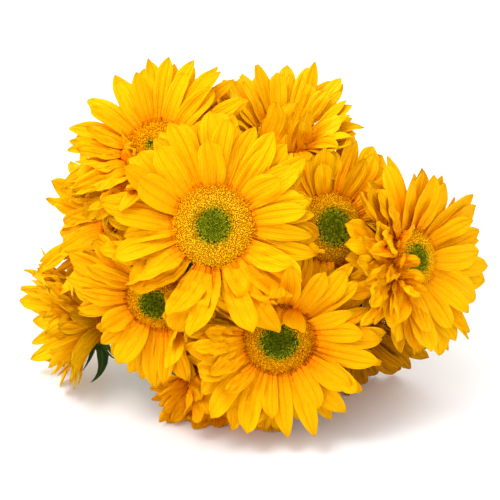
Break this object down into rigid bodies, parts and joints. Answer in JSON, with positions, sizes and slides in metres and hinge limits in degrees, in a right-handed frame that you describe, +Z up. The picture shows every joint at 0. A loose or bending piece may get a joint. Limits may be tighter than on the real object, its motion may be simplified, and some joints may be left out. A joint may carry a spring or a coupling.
{
  "type": "bunch of cut sunflowers",
  "caption": "A dense domed bunch of cut sunflowers lying down, the yellow heads pressed together face out and the bare green stems gathered behind them.",
  "frame": {"origin": "on the floor, under the middle of the box round the whole bunch as it lies", "axes": "X runs across the dome of heads, Y from the front of the dome (-Y) to the cut ends of the stems (+Y), and Z is up"},
  "size_m": [0.3156, 0.3984, 0.2203],
  "materials": {
    "ray": "matte",
    "disc_ring": "matte",
    "disc_center": "matte",
    "calyx": "matte",
    "stem": "satin"
  },
  "bodies": {
    "root": {"bloom_01": "ray", "bloom_02": "ray", "bloom_03": "ray", "bloom_04": "ray", "bloom_05": "ray", "bloom_06": "ray", "bloom_07": "ray", "bloom_08": "ray", "bloom_09": "ray", "bloom_10": "ray", "bloom_11": "ray", "bloom_12": "ray", "calyx_01": "calyx", "calyx_02": "calyx", "calyx_03": "calyx", "calyx_04": "calyx", "calyx_05": "calyx", "calyx_06": "calyx", "calyx_07": "calyx", "calyx_08": "calyx", "calyx_09": "calyx", "calyx_10": "calyx", "calyx_11": "calyx", "calyx_12": "calyx", "stem_01": "stem", "stem_02": "stem", "stem_03": "stem", "stem_04": "stem", "stem_05": "stem", "stem_06": "stem", "stem_07": "stem", "stem_08": "stem", "stem_09": "stem", "stem_10": "stem", "stem_11": "stem", "stem_12": "stem"}
  },
  "joints": []
}
